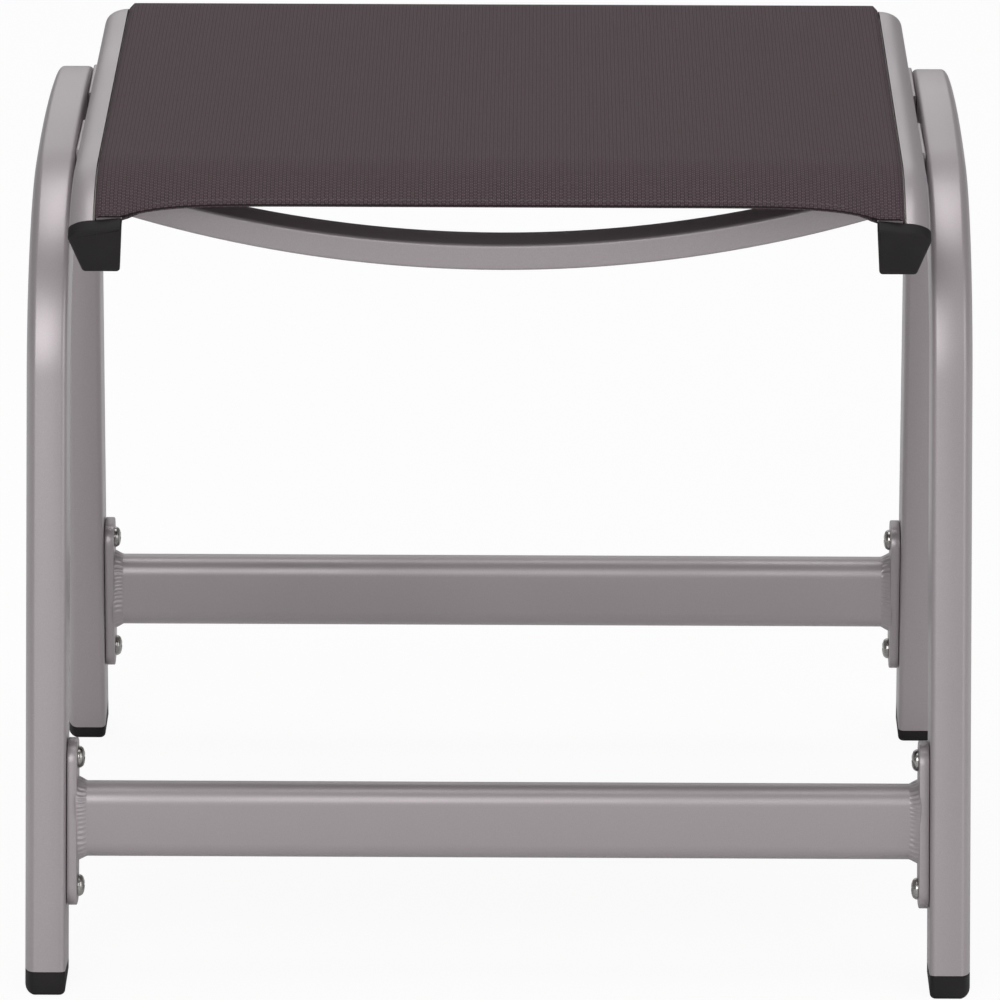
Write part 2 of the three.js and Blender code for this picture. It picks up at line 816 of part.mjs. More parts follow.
for (const [side, x] of sides) {
  for (const [end, y] of ends) {
    const corner = `${end}_${side}`;
    for (const spot of plateScrewSpots()) {
      const lean = sideLeanShare * spot.z;
      const name = `${corner}_${spot.name}`;
      addAcross(`plate_screw_${name}`, screw(plateScrewLength),
        x * (plateFace - gap - lean), y * spot.y, spot.z, steel());
      addAcross(`plate_rivet_nut_${name}`, rivetNut(), x * (tubeInner - lean), y * spot.y, spot.z, steel());
    }
    const archFace = archFaceAt(seatBoltHeight);
    const boltLength = archFace + seatBoltReach - boltFace;
    addAcross(`seat_bolt_${corner}`, screw(boltLength),
      x * (boltFace - gap), y * spacerAway, seatBoltHeight, steel());
    addAcross(`seat_rivet_nut_${corner}`, rivetNut(), x * archFace, y * spacerAway, seatBoltHeight, steel());
  }
}

add('sling', sling(), weave());

export default group;
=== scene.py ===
import math

import bmesh
import bpy
from mathutils import Matrix, Vector


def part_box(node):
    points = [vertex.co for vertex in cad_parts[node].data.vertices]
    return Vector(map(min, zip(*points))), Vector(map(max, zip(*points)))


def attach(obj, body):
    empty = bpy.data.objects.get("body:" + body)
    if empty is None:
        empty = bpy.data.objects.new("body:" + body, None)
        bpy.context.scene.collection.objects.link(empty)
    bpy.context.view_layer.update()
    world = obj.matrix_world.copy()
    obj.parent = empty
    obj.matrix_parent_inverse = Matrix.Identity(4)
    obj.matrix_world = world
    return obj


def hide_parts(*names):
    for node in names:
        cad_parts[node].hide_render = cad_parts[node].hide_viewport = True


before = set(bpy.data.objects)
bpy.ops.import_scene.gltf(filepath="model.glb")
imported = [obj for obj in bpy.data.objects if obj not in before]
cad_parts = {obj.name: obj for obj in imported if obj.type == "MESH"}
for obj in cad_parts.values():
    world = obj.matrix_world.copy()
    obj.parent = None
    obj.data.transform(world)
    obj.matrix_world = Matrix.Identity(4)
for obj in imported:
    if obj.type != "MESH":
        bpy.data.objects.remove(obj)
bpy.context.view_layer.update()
print("frame loaded")

sides = {"left": -1, "right": 1}
ends = {"front": -1, "rear": 1}


# Camera at the angle of the photograph

cameraPlace = {
    "at": (0.0201, -4.1813, 1.470),
    "pitch": 73.0,  # degrees up from straight down
    "swing": 0.0049,  # radians
    "roll": 0.0027,
    "lens": 305.5,
    "sensor": 36.0,
    "far": 50,
}


def makeCamera():
    data = bpy.data.cameras.new("camera")
    data.lens = cameraPlace["lens"]
    data.sensor_width = cameraPlace["sensor"]
    data.clip_end = cameraPlace["far"]
    camera = bpy.data.objects.new("camera", data)
    swing = Matrix.Rotation(cameraPlace["swing"], 4, "Z")
    pitch = Matrix.Rotation(math.radians(cameraPlace["pitch"]), 4, "X")
    roll = Matrix.Rotation(cameraPlace["roll"], 4, "Z")
    camera.matrix_world = Matrix.Translation(cameraPlace["at"]) @ swing @ pitch @ roll
    bpy.context.scene.collection.objects.link(camera)
    bpy.context.scene.camera = camera


makeCamera()
print("camera placed")


# Materials

def startMaterial(name):
    material = bpy.data.materials.new(name)
    material.use_nodes = True
    nodes = material.node_tree.nodes
    return material, nodes, material.node_tree.links, nodes["Principled BSDF"]


def addNode(nodes, kind, **values):
    node = nodes.new(kind)
    for name, value in values.items():
        setattr(node, name, value)
    return node


# Noise on object coordinates, in grains per metre
def addNoise(nodes, links, scale, detail, stretch=(1, 1, 1)):
    place = addNode(nodes, "ShaderNodeTexCoord")
    mapping = addNode(nodes, "ShaderNodeMapping")
    mapping.inputs["Scale"].default_value = stretch
    noise = addNode(nodes, "ShaderNodeTexNoise")
    noise.inputs["Scale"].default_value = scale
    noise.inputs["Detail"].default_value = detail
    links.new(place.outputs["Object"], mapping.inputs["Vector"])
    links.new(mapping.outputs["Vector"], noise.inputs["Vector"])
    return noise.outputs["Fac"]


noiseRange = (0.3, 0.7)  # most of a noise lies between these


def addRange(nodes, links, source, low, high):
    spread = addNode(nodes, "ShaderNodeMapRange")
    spread.inputs["From Min"].default_value = noiseRange[0]
    spread.inputs["From Max"].default_value = noiseRange[1]
    spread.inputs["To Min"].default_value = low
    spread.inputs["To Max"].default_value = high
    links.new(source, spread.inputs["Value"])
    return spread.outputs["Result"]


def addColours(nodes, links, source, dark, light):
    ramp = addNode(nodes, "ShaderNodeValToRGB")
    for element, position, colour in zip(ramp.color_ramp.elements, noiseRange, (dark, light)):
        element.position = position
        element.color = (*colour, 1)
    links.new(source, ramp.inputs["Fac"])
    return ramp.outputs["Color"]


def addBump(nodes, links, height, distance, strength=1.0, after=None):
    bump = addNode(nodes, "ShaderNodeBump")
    bump.inputs["Distance"].default_value = distance
    bump.inputs["Strength"].default_value = strength
    links.new(height, bump.inputs["Height"])
    if after:
        links.new(after, bump.inputs["Normal"])
    return bump.outputs["Normal"]


def linkShader(links, shader, colour, normal, roughness=None):
    links.new(colour, shader.inputs["Base Color"])
    links.new(normal, shader.inputs["Normal"])
    if roughness:
        links.new(roughness, shader.inputs["Roughness"])


# In all materials a noise is grains per metre, detail and stretch, and a bump is height and strength
silverCoat = {
    "dark": (0.335, 0.302, 0.316),
    "light": (0.375, 0.340, 0.354),
    "metallic": 0.45,
    "flakes": (2600, 2.0),
    "flakeBump": (0.000008, 0.5),
    "peel": (420, 1.0),
    "peelBump": (0.00002, 0.5),
    "cloud": (9, 2.0),
    "roughness": (0.36, 0.46),
    "coat": 0.15,
    "coatRoughness": 0.25,
}


def makeSilver():
    material, nodes, links, shader = startMaterial("silverCoat")
    flakes = addNoise(nodes, links, *silverCoat["flakes"])
    cloud = addNoise(nodes, links, *silverCoat["cloud"])
    peel = addNoise(nodes, links, *silverCoat["peel"])
    colour = addColours(nodes, links, flakes, silverCoat["dark"], silverCoat["light"])
    roughness = addRange(nodes, links, cloud, *silverCoat["roughness"])
    peeled = addBump(nodes, links, peel, *silverCoat["peelBump"])
    normal = addBump(nodes, links, flakes, *silverCoat["flakeBump"], peeled)
    linkShader(links, shader, colour, normal, roughness)
    shader.inputs["Metallic"].default_value = silverCoat["metallic"]
    shader.inputs["Coat Weight"].default_value = silverCoat["coat"]
    shader.inputs["Coat Roughness"].default_value = silverCoat["coatRoughness"]
    return material


blackPlastic = {
    "dark": (0.007, 0.006, 0.0065),
    "light": (0.014, 0.012, 0.013),
    "grain": (1900, 2.0),
    "grainBump": (0.00004, 0.6),
    "scuff": (60, 4.0),
    "roughness": (0.56, 0.70),
    "specular": 0.25,
}


def makePlastic():
    material, nodes, links, shader = startMaterial("blackPlastic")
    grain = addNoise(nodes, links, *blackPlastic["grain"])
    scuff = addNoise(nodes, links, *blackPlastic["scuff"])
    colour = addColours(nodes, links, scuff, blackPlastic["dark"], blackPlastic["light"])
    roughness = addRange(nodes, links, scuff, *blackPlastic["roughness"])
    normal = addBump(nodes, links, grain, *blackPlastic["grainBump"])
    linkShader(links, shader, colour, normal, roughness)
    shader.inputs["Specular IOR Level"].default_value = blackPlastic["specular"]
    return material


brightSteel = {
    "dark": (0.30, 0.29, 0.28),
    "light": (0.46, 0.45, 0.43),
    "turning": (900, 3.0, (1, 4, 4)),
    "turningBump": (0.00001, 0.4),
    "roughness": (0.18, 0.30),
}


def makeSteel():
    material, nodes, links, shader = startMaterial("brightSteel")
    turning = addNoise(nodes, links, *brightSteel["turning"])
    colour = addColours(nodes, links, turning, brightSteel["dark"], brightSteel["light"])
    roughness = addRange(nodes, links, turning, *brightSteel["roughness"])
    normal = addBump(nodes, links, turning, *brightSteel["turningBump"])
    linkShader(links, shader, colour, normal, roughness)
    shader.inputs["Metallic"].default_value = 1.0
    return material


rodPlastic = {
    "dark": (0.60, 0.58, 0.54),
    "light": (0.70, 0.68, 0.64),
    "streak": (700, 2.0, (1, 0.05, 1)),
    "streakBump": (0.00003, 0.5),
    "roughness": 0.5,
}


def makeRodPlastic():
    material, nodes, links, shader = startMaterial("rodPlastic")
    streak = addNoise(nodes, links, *rodPlastic["streak"])
    colour = addColours(nodes, links, streak, rodPlastic["dark"], rodPlastic["light"])
    normal = addBump(nodes, links, streak, *rodPlastic["streakBump"])
    linkShader(links, shader, colour, normal)
    shader.inputs["Roughness"].default_value = rodPlastic["roughness"]
    return material


slingWeave = {
    # gap is painted shade: the colour goes dark where the weave lies low, between and under the yarns
    "gap": (0.016, 0.011, 0.013),
    "warp": (0.146, 0.104, 0.117),
    "weft": (0.112, 0.080, 0.090),
    "pair": 0.0019,  # from one pair of warp yarns to the next
    "weftYarn": 0.00115,
    "yarnPower": 0.6,  # the lower a power, the flatter the top and the steeper the sides
    "pairPower": 0.3,
    "crossPower": 0.3,
    "weftPower": 0.5,
    "weftHigh": 0.75,  # height of a weft yarn against the warp
    "gapShadePower": 0.7,
    "relief": 0.0003,
    "slub": (760, 2.0, (1, 0.3, 1)),
    "slubDark": (0.82, 0.82, 0.82),
    "slubLight": (1.0, 1.0, 1.0),
    "roughness": (0.68, 0.76),
    "specular": 0.14,
}


# Pairs of round coated yarns run front to back, and single ones cross them, with painted shade where they lie
# low
def makeWeave():
    material, nodes, links, shader = startMaterial("slingWeave")
    # The flat map of the cloth is in metres
    place = addNode(nodes, "ShaderNodeUVMap", uv_map="cloth")
    cells = addNode(nodes, "ShaderNodeVectorMath", operation="MULTIPLY")
    cells.inputs[1].default_value = (1 / slingWeave["pair"], 1 / slingWeave["weftYarn"], 0)
    split = addNode(nodes, "ShaderNodeSeparateXYZ")
    links.new(place.outputs["UV"], cells.inputs[0])
    links.new(cells.outputs["Vector"], split.inputs["Vector"])

    def reckon(operation, first, second=None):
        node = addNode(nodes, "ShaderNodeMath", operation=operation)
        for socket, value in zip(node.inputs, (first, second)):
            if isinstance(value, (int, float)):
                socket.default_value = value
            elif value is not None:
                links.new(value, socket)
        return node.outputs[0]

    def hump(coordinate, waves):
        return reckon("ABSOLUTE", reckon("SINE", reckon("MULTIPLY", coordinate, waves * math.pi)))

    pair = hump(split.outputs["X"], 1)
    single = hump(split.outputs["X"], 2)
    cross = hump(split.outputs["Y"], 1)
    checker = addNode(nodes, "ShaderNodeTexChecker")
    checker.inputs["Scale"].default_value = 1
    links.new(cells.outputs["Vector"], checker.inputs["Vector"])
    yarn = reckon("POWER", single, slingWeave["yarnPower"])
    warpEdge = reckon("MULTIPLY", yarn, reckon("POWER", pair, slingWeave["pairPower"]))
    warp = reckon("MULTIPLY", warpEdge, reckon("POWER", cross, slingWeave["crossPower"]))
    weftRound = reckon("MULTIPLY", cross, reckon("POWER", pair, slingWeave["weftPower"]))
    weft = reckon("MULTIPLY", weftRound, slingWeave["weftHigh"])
    height = addNode(nodes, "ShaderNodeMix", data_type="FLOAT")
    links.new(checker.outputs["Fac"], height.inputs["Factor"])
    links.new(warp, height.inputs["A"])
    links.new(weft, height.inputs["B"])
    yarns = addNode(nodes, "ShaderNodeMix", data_type="RGBA")
    links.new(checker.outputs["Fac"], yarns.inputs["Factor"])
    yarns.inputs["A"].default_value = (*slingWeave["warp"], 1)
    yarns.inputs["B"].default_value = (*slingWeave["weft"], 1)
    # Painted shade: the lower the weave at a point, the nearer its colour comes to the dark gap colour
    shade = addNode(nodes, "ShaderNodeMix", data_type="RGBA")
    links.new(reckon("POWER", height.outputs["Result"], slingWeave["gapShadePower"]), shade.inputs["Factor"])
    shade.inputs["A"].default_value = (*slingWeave["gap"], 1)
    links.new(yarns.outputs["Result"], shade.inputs["B"])
    slub = addNoise(nodes, links, *slingWeave["slub"])
    slubColour = addColours(nodes, links, slub, slingWeave["slubDark"], slingWeave["slubLight"])
    uneven = addNode(nodes, "ShaderNodeMix", data_type="RGBA", blend_type="MULTIPLY")
    uneven.inputs["Factor"].default_value = 1
    links.new(shade.outputs["Result"], uneven.inputs["A"])
    links.new(slubColour, uneven.inputs["B"])
    roughness = addRange(nodes, links, slub, *slingWeave["roughness"])
    normal = addBump(nodes, links, height.outputs["Result"], slingWeave["relief"])
    linkShader(links, shader, uneven.outputs["Result"], normal, roughness)
    shader.inputs["Specular IOR Level"].default_value = slingWeave["specular"]
    return material


threadFibre = {
    "dark": (0.050, 0.038, 0.042),
    "light": (0.105, 0.085, 0.090),
    "twist": (2600, 2.0, (1, 3, 3)),
    "relief": 0.0001,
    "roughness": 0.6,
}


def makeThread():
    material, nodes, links, shader = startMaterial("threadFibre")
    twist = addNoise(nodes, links, *threadFibre["twist"])
    colour = addColours(nodes, links, twist, threadFibre["dark"], threadFibre["light"])
    normal = addBump(nodes, links, twist, threadFibre["relief"])
    linkShader(links, shader, colour, normal)
    shader.inputs["Roughness"].default_value = threadFibre["roughness"]
    return material


silver = makeSilver()
plastic = makePlastic()
steel = makeSteel()
rod = makeRodPlastic()
weave = makeWeave()
thread = makeThread()
print("materials made")


# Helpers for sections that run and bend along a path

samePoint = 0.000001  # points nearer to each other than this are made one


# Rounds corners or edges, where the kind is VERTICES or EDGES
def roundOff(bm, parts, kind, offset, segments):
    bmesh.ops.bevel(bm, geom=parts, affect=kind, offset=offset, segments=segments, profile=0.5, material=-1)


# A face in XY, from corners of x, y and rounding
def makeSection(corners, segments):
    bm = bmesh.new()
    made = [bm.verts.new((x, y, 0)) for x, y, rounding in corners]
    bm.faces.new(made)
    for vert, (x, y, rounding) in zip(made, corners):
        if rounding:
            roundOff(bm, [vert], "VERTICES", rounding, segments)
    return bm


def boxSection(wide, tall, rounding, segments):
    x = wide / 2
    y = tall / 2
    return makeSection([(x, -y, rounding), (x, y, rounding), (-x, y, rounding), (-x, -y, rounding)], segments)


# Keeps only the outline of a section, with its x along across and its y along up
def placeSection(bm, across, up, at):
    across = Vector(across)
    up = Vector(up)
    bmesh.ops.delete(bm, geom=bm.faces[:], context="FACES_ONLY")
    turn = Matrix((across, up, across.cross(up))).transposed().to_4x4()
    bmesh.ops.transform(bm, matrix=Matrix.Translation(at) @ turn, verts=bm.verts)
    return bm.edges[:]


def edgesOf(items):
    return [item for item in items if isinstance(item, bmesh.types.BMEdge)]


# Each vertex once, in the order of the edges
def vertsOf(edges):
    return list(dict.fromkeys(vert for edge in edges for vert in edge.verts))


def runLoop(bm, edges, move):
    made = bmesh.ops.extrude_edge_only(bm, edges=edges)["geom"]
    fresh = [item for item in made if isinstance(item, bmesh.types.BMVert)]
    bmesh.ops.translate(bm, vec=move, verts=fresh)
    known = set(fresh)
    return [edge for edge in edgesOf(made) if set(edge.verts) <= known]


def bendLoop(bm, edges, centre, axis, angle, steps):
    made = bmesh.ops.spin(bm, geom=edges + vertsOf(edges), cent=centre, axis=axis, angle=angle,
                          steps=steps, use_merge=False, use_duplicate=False)
    return edgesOf(made["geom_last"])


def fillLoop(bm, edges):
    return bmesh.ops.contextual_create(bm, geom=edges)["faces"]


def mirrorBoth(bm, axis):
    bmesh.ops.mirror(bm, geom=bm.verts[:] + bm.edges[:] + bm.faces[:], axis=axis, merge_dist=samePoint)


def toObject(name, bm):
    mesh = bpy.data.meshes.new(name)
    bm.to_mesh(mesh)
    bm.free()
    thing = bpy.data.objects.new(name, mesh)
    bpy.context.scene.collection.objects.link(thing)
    return thing


# Makes the object on the side of X and Y that flip asks for, with its edges sharp from so many degrees
def finishPiece(name, bm, material, nodes, flip=(1, 1), sharp=38):
    copy = bm.copy()
    bmesh.ops.scale(copy, vec=(*flip, 1), verts=copy.verts)
    bmesh.ops.remove_doubles(copy, verts=copy.verts, dist=samePoint)
    bmesh.ops.recalc_face_normals(copy, faces=copy.faces)
    piece = toObject(name, copy)
    piece.data.shade_smooth()
    piece.data.set_sharp_from_angle(angle=math.radians(sharp))
    piece.data.materials.append(material)
    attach(piece, "root")
    if nodes:
        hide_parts(*nodes)
    return piece


# Makes the four copies of a rear right piece
def finishCorners(name, bm, material, node):
    for side, x in sides.items():
        for end, y in ends.items():
            finishPiece(f"{name}_{end}_{side}", bm, material, [f"{node}_{end}_{side}"], (x, y))
    bm.free()


# Side frames

sideTube = {
    "halfWide": 0.2355,  # out to the outer face of a foot
    "halfDeep": 0.220,
    "deep": 0.038,
    "across": 0.0205,
    "outerRoundDeep": 0.015,
    "outerRoundAcross": 0.0053,
    "outerSteps": 9,
    "innerRound": 0.003,
    "innerSteps": 4,
    "bendRadius": 0.110,
    "bendSteps": 28,
    "crownHalfAngle": 0.1088,
    "crownSteps": 8,
    "legSlope": 0.1434,
    "sideLean": 0.0075,
    "joint": 0.0093,  # where tube and foot cap meet, in the middle of a leg
}
legAngle = math.atan(sideTube["legSlope"])
tubeMiddle = sideTube["halfWide"] - sideTube["across"] / 2
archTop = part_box("side_frame_right")[1].z
legDown = Vector((0, math.sin(legAngle), -math.cos(legAngle)))
legOut = Vector((0, math.cos(legAngle), math.sin(legAngle)))


def legAway(height):
    levelDeep = sideTube["deep"] / math.cos(legAngle)
    return sideTube["halfDeep"] - height * sideTube["legSlope"] - levelDeep / 2


# The outer edges are wide and shallow, so they are rounded on a stretched outline
def tubeSection():
    x = sideTube["across"] / 2
    y = sideTube["deep"] / 2
    stretch = sideTube["outerRoundDeep"] / sideTube["outerRoundAcross"]
    wide = sideTube["outerRoundDeep"]
    outer = [(x * stretch, -y, wide), (x * stretch, y, wide)]
    inner = [(-x * stretch, y, 0), (-x * stretch, -y, 0)]
    bm = makeSection(outer + inner, sideTube["outerSteps"])
    bmesh.ops.scale(bm, vec=(1 / stretch, 1, 1), verts=bm.verts)
    innerVerts = [vert for vert in bm.verts if vert.co.x < 0]
    roundOff(bm, innerVerts, "VERTICES", sideTube["innerRound"], sideTube["innerSteps"])
    return bm


def leanIn(bm):
    lean = Matrix.Identity(4)
    lean[0][2] = -sideTube["sideLean"]
    bmesh.ops.transform(bm, matrix=lean, verts=bm.verts)


# Half an arch from the middle of its top to the rear foot, then mirrored to the front
def makeArch():
    crown = sideTube["crownHalfAngle"]
    radius = sideTube["bendRadius"]
    slope = sideTube["legSlope"]
    reach = sideTube["halfDeep"] - slope * (archTop - radius) - radius / math.cos(legAngle)
    apart = reach / (math.sin(crown) - slope * (1 - math.cos(crown)))
    crownMiddle = archTop - radius - apart
    bendY = apart * math.sin(crown)
    bendZ = crownMiddle + apart * math.cos(crown)
    bendAngle = math.pi / 2 - crown - legAngle
    bm = tubeSection()
    edges = placeSection(bm, (1, 0, 0), (0, 0, 1), (tubeMiddle, 0, archTop - sideTube["deep"] / 2))
    edges = bendLoop(bm, edges, (0, 0, crownMiddle), (-1, 0, 0), crown, sideTube["crownSteps"])
    edges = bendLoop(bm, edges, (0, bendY, bendZ), (-1, 0, 0), bendAngle, sideTube["bendSteps"])
    bendEnd = bendZ + (radius - sideTube["deep"] / 2) * math.sin(legAngle)
    edges = runLoop(bm, edges, legDown * (bendEnd - sideTube["joint"]) / math.cos(legAngle))
    fillLoop(bm, edges)
    mirrorBoth(bm, "Y")
    leanIn(bm)
    return bm


arch = makeArch()
for side, x in sides.items():
    finishPiece(f"sideTube_{side}", arch, silver, [f"side_frame_{side}"], (x, 1))
arch.free()
print("side frames done")


# Foot caps

footCap = {"gap": 0.0003, "chamfer": 0.0022, "chamferSteps": 4}


# Rear right cap, square to the leg on top and level below
def makeFootCap():
    bm = tubeSection()
    top = sideTube["joint"] - footCap["gap"]
    edges = placeSection(bm, (1, 0, 0), legOut, (tubeMiddle, legAway(top), top))
    bottom = runLoop(bm, edges, legDown * top)
    for vert in vertsOf(bottom):
        vert.co += legDown * vert.co.z / math.cos(legAngle)
    fillLoop(bm, edges)
    fillLoop(bm, bottom)
    roundOff(bm, bottom, "EDGES", footCap["chamfer"], footCap["chamferSteps"])
    leanIn(bm)
    return bm


finishCorners("footCap", makeFootCap(), plastic, "foot_cap")
print("foot caps done")


# Seat rails and their end caps

seatRail = {
    "rise": 0.0086,  # its top, under the sling, over the arch
    "fromArch": 0.0027,
    "wide": 0.0256,
    "innerLean": 0.002,  # its inner side comes out this much on the way down
    "bottomWide": 0.0196,
    "tall": 0.0329,
    "shoulderDrop": 0.009,
    "shoulderSteps": 9,
    "lipDrop": 0.0018,
    "edgeRound": 0.0016,
    "lipRound": 0.0003,
    "roundSteps": 5,
    "slotIn": 0.0126,
    "slotHalfWide": 0.0009,
    "slotDeep": 0.0063,
    "flatHalf": 0.152,
    "bendRadius": 0.090,
    "bendAngle": 0.62,
    "bendSteps": 16,
}
railTop = archTop + seatRail["rise"]
archLean = sideTube["sideLean"] * (railTop - seatRail["shoulderDrop"])
archFace = sideTube["halfWide"] - sideTube["across"] - archLean
railWidest = archFace - seatRail["fromArch"]
railInner = railWidest - seatRail["wide"]
slotAcross = railWidest - seatRail["slotIn"]
railBendMiddle = Vector((0, seatRail["flatHalf"], railTop - seatRail["bendRadius"]))


# The rounded shoulder, from the outermost line up to the lip of the slot
def shoulderCorners(lip):
    steps = seatRail["shoulderSteps"]
    corners = []
    for step in range(steps + 1):
        angle = math.pi / 2 * step / steps
        x = lip + (railWidest - lip) * math.cos(angle)
        y = (seatRail["shoulderDrop"] - seatRail["lipDrop"]) * math.sin(angle) - seatRail["shoulderDrop"]
        corners.append((x, y, 0))
    return corners


def railBottomCorners():
    edge = seatRail["edgeRound"]
    outer = railInner + seatRail["bottomWide"]
    inner = railInner + seatRail["innerLean"]
    return [(railInner, 0, edge), (inner, -seatRail["tall"], edge), (outer, -seatRail["tall"], edge)]


def railSection():
    left = slotAcross - seatRail["slotHalfWide"]
    right = slotAcross + seatRail["slotHalfWide"]
    deep = seatRail["slotDeep"]
    slot = [(right, -deep, 0), (left, -deep, 0), (left, 0, seatRail["lipRound"])]
    return makeSection(shoulderCorners(right) + slot + railBottomCorners(), seatRail["roundSteps"])


# Half a rail from its middle to the rear end, then mirrored to the front
def makeRail():
    bm = railSection()
    edges = placeSection(bm, (1, 0, 0), (0, 0, 1), (0, 0, railTop))
    edges = runLoop(bm, edges, (0, seatRail["flatHalf"], 0))
    edges = bendLoop(bm, edges, railBendMiddle, (-1, 0, 0), seatRail["bendAngle"], seatRail["bendSteps"])
    fillLoop(bm, edges)
    mirrorBoth(bm, "Y")
    return bm


railCap = {"over": 0.0005, "long": 0.0067, "gap": 0.0003, "round": 0.0016, "roundSteps": 4}
railEndDown = Vector((0, math.cos(seatRail["bendAngle"]), -math.sin(seatRail["bendAngle"])))
railEndUp = Vector((0, math.sin(seatRail["bendAngle"]), math.cos(seatRail["bendAngle"])))
railEnd = railBendMiddle + railEndUp * seatRail["bendRadius"]


# Rear right cap: the outline of the rail without its slot, a little larger
def makeRailCap():
    corners = shoulderCorners(slotAcross - seatRail["slotHalfWide"]) + railBottomCorners()
    bm = makeSection(corners, seatRail["roundSteps"])
    middle = Vector(((railInner + railWidest) / 2, -seatRail["tall"] / 2, 0))
    larger = [1 + 2 * railCap["over"] / seatRail[size] for size in ("wide", "tall")]
    bmesh.ops.scale(bm, vec=(*larger, 1), space=Matrix.Translation(-middle), verts=bm.verts)
    start = railEnd + railEndDown * railCap["gap"]
    edges = placeSection(bm, (1, 0, 0), railEndUp, start)
    face = runLoop(bm, edges, railEndDown * railCap["long"])
    fillLoop(bm, edges)
    fillLoop(bm, face)
    roundOff(bm, face, "EDGES", railCap["round"], railCap["roundSteps"])
    return bm


rail = makeRail()
railEndCap = makeRailCap()
for side, x in sides.items():
    finishPiece(f"rail_{side}", rail, silver, [f"seat_rail_{side}"], (x, 1))
    for end, y in ends.items():
        name = f"rail_end_cap_{end}_{side}"
        finishPiece(f"railCap_{end}_{side}", railEndCap, plastic, [name], (x, y))
rail.free()
railEndCap.free()
print("seat rails done")


# Cross rails

crossRail = {"height": 0.083, "tall": 0.0383, "deep": 0.020, "round": 0.0094, "roundSteps": 9}
crossY = legAway(crossRail["height"])


def makeCrossRail():
    bm = boxSection(crossRail["deep"], crossRail["tall"], crossRail["round"], crossRail["roundSteps"])
    edges = placeSection(bm, (0, 1, 0), (0, 0, 1), (0, crossY, crossRail["height"]))
    edges = runLoop(bm, edges, (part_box("cross_rail_rear")[1].x, 0, 0))
    fillLoop(bm, edges)
    mirrorBoth(bm, "X")
    return bm


cross = makeCrossRail()
for end, y in ends.items():
    finishPiece(f"crossTube_{end}", cross, silver, [f"cross_rail_{end}"], (1, y))
cross.free()
print("cross rails done")


# Mounting plates with their weld beads

plate = {
    "long": 0.0835,
    "wide": 0.026,
    "thick": 0.005,
    "round": 0.010,
    "roundSteps": 8,
    "drop": 0.0015,
    "edge": 0.0006,
    "edgeSteps": 2,
    "gap": 0.0003,
}
weld = {
    "reach": 0.0048,
    "spread": 0.0027,
    "hollow": 1.5,  # the higher, the deeper the hollow between plate and rail
    "sunk": 0.0006,
    "ripple": 0.00034,
    "rippleOut": 0.6,  # how far the ripples stand out as a whole
    "ripples": 42,
    "bow": 1.8,  # each ripple is curved across the bead
    "drift": 2.2,  # and they run closer and wider round it
    "drifts": 3,
    "swell": 0.3,  # and higher and lower
    "swells": 5,
    "swellStart": 1,
    "steps": 336,
    "rows": 8,
}
plateFace = sideTube["halfWide"] - sideTube["across"] - plate["gap"] - plate["thick"]
plateMiddle = crossRail["height"] - plate["drop"]


def makePlate():
    bm = boxSection(plate["wide"], plate["long"], plate["round"], plate["roundSteps"])
    start = (plateFace + plate["thick"], legAway(plateMiddle), plateMiddle)
    back = placeSection(bm, legOut, -legDown, start)
    face = runLoop(bm, back, (-plate["thick"], 0, 0))
    fillLoop(bm, back)
    fillLoop(bm, face)
    roundOff(bm, face + back, "EDGES", plate["edge"], plate["edgeSteps"])
    return bm


# Points and outward directions at equal steps round a box with rounded corners
def walkOutline(wide, tall, rounding, steps):
    y = wide / 2 - rounding
    z = tall / 2 - rounding
    corner = math.pi / 2 * rounding
    centres = [(y, z), (-y, z), (-y, -z), (y, -z)]
    runs = [2 * y, 2 * z, 2 * y, 2 * z]
    whole = sum(runs) + 4 * corner
    walked = []
    for step in range(steps):
        left = whole * step / steps
        for quarter, (centre, run) in enumerate(zip(centres, runs)):
            if left <= corner + run:
                angle = math.pi / 2 * (quarter + min(left / corner, 1))
                outward = Vector((0, math.cos(angle), math.sin(angle)))
                ahead = Vector((0, -math.sin(angle), math.cos(angle))) * max(left - corner, 0)
                walked.append((Vector((0, *centre)) + outward * rounding + ahead, outward))
                break
            left -= corner + run
    return walked


# A hollow bead round the end of the cross rail, rippled as a welder lays it
def addWeld(bm):
    outline = walkOutline(crossRail["deep"], crossRail["tall"], crossRail["round"], weld["steps"])
    middle = Vector((plateFace + weld["sunk"], crossY, crossRail["height"]))
    rings = []
    for row in range(weld["rows"] + 1):
        share = row / weld["rows"]
        hump = math.sin(math.pi * share)
        ring = []
        for step, (spot, outward) in enumerate(outline):
            turn = 2 * math.pi * step / weld["steps"]
            drift = weld["drift"] * math.sin(weld["drifts"] * turn)
            wave = math.sin(weld["ripples"] * turn + weld["bow"] * hump + drift)
            swelling = math.sin(weld["swells"] * turn + weld["swellStart"])
            height = weld["ripple"] * (1 - weld["swell"] + weld["swell"] * swelling) * hump
            spread = weld["spread"] * (1 - share) ** weld["hollow"] + height * (wave + weld["rippleOut"])
            back = Vector((-(weld["reach"] + weld["sunk"]) * share, 0, 0))
            ring.append(bm.verts.new(middle + spot + outward * spread + back))
        rings.append(ring)
    for lower, upper in zip(rings, rings[1:]):
        for step in range(weld["steps"]):
            bm.faces.new((lower[step - 1], lower[step], upper[step], upper[step - 1]))
    bm.faces.new(rings[0])
    bm.faces.new(rings[-1])


mountingPlate = makePlate()
addWeld(mountingPlate)
leanIn(mountingPlate)
finishCorners("plate", mountingPlate, silver, "mounting_plate")
print("plates done")


# Pan head screws

screw = {
    "shank": 0.003,
    "head": 0.0055,
    "tall": 0.0032,
    "edge": 0.0010,
    "dome": ((0.97, 0.45), (0.75, 0.82)),  # shares of its height and of its radius
    "domeRound": 0.0005,
    "domeSteps": 3,
    "recess": (0.0056, 0.0013, 0.0017),  # length, width and depth of the cross
    "turnSteps": 32,
    "sharp": 32,
}


